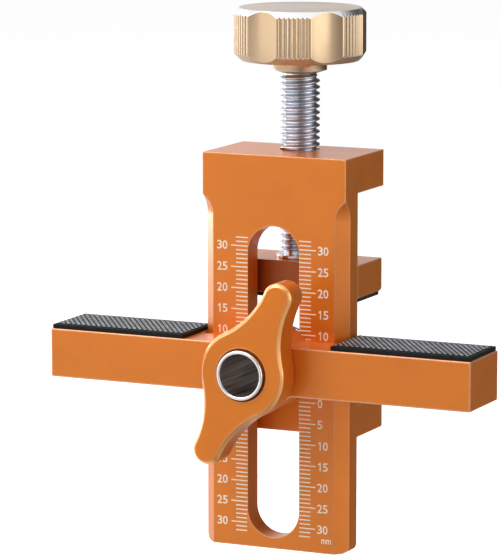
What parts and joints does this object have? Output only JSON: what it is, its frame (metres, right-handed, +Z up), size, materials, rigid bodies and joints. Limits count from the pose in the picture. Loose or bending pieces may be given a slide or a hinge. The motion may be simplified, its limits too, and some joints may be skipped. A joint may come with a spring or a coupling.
{
  "type": "cabinet hardware jig",
  "caption": "C-shaped clamp jig with a graduated slotted plate, a screw clamp with a lobed knob, and a padded support bar locked on the slot by a wing lever on a hollow drill-guide bolt.",
  "frame": {"origin": "on the clamp screw's axis, at the fixed jaw's gripping face, where the lower scale reads zero", "axes": "+X along the support bar, -Y out of the graduated front face, +Z up the clamp screw towards the knob"},
  "size_m": [0.1068, 0.0497, 0.1267],
  "materials": {
    "orange_anodised": "satin orange anodised, fine milled",
    "champagne_anodised": "satin champagne anodised, turned and grooved",
    "zinc_steel": "bright zinc plated",
    "polished_steel": "polished and ground",
    "spring_steel": "oiled spring steel",
    "black_rubber": "matt, smooth",
    "knurled_rubber": "matt, with a fine diagonal pattern"
  },
  "bodies": {
    "frame": {"body_frame": "orange_anodised", "fixed_jaw_pad": "black_rubber"},
    "jaw": {"moving_jaw": "orange_anodised", "moving_jaw_pad": "black_rubber", "thrust_washer": "zinc_steel"},
    "screw": {"clamp_screw": "zinc_steel", "retaining_ring": "spring_steel", "clamp_knob": "champagne_anodised"},
    "bar": {"support_bar": "orange_anodised", "bar_pad_left": "knurled_rubber", "bar_pad_right": "knurled_rubber", "guide_bolt": "polished_steel"},
    "washer": {"lever_washer": "zinc_steel"},
    "lever": {"lock_lever": "orange_anodised"}
  },
  "joints": [
    {"name": "jaw_slide", "type": "slide", "parent": "frame", "child": "jaw", "axis": [0, 0, 1], "range_m": [-0.018, 0.0162]},
    {"name": "screw_turn", "type": "hinge", "parent": "jaw", "child": "screw", "pos_m": [0, 0, 0.05], "axis": [0, 0, 1], "range_deg": [-4319, 3887]},
    {"name": "bar_slide", "type": "slide", "parent": "frame", "child": "bar", "axis": [0, 0, 1], "range_m": [-0.0352, 0.0255]},
    {"name": "washer_lift", "type": "slide", "parent": "bar", "child": "washer", "axis": [0, -1, 0], "range_m": [0, 0.0005]},
    {"name": "lever_turn", "type": "hinge", "parent": "washer", "child": "lever", "pos_m": [0, -0.029, 0.0089], "axis": [0, -1, 0], "range_deg": [0, 179]}
  ],
  "couplings": [
    {"joint": "jaw_slide", "follows": "screw_turn", "m_per_rad": 0.00023873},
    {"joint": "washer_lift", "follows": "lever_turn", "m_per_rad": 0.00015915}
  ]
}
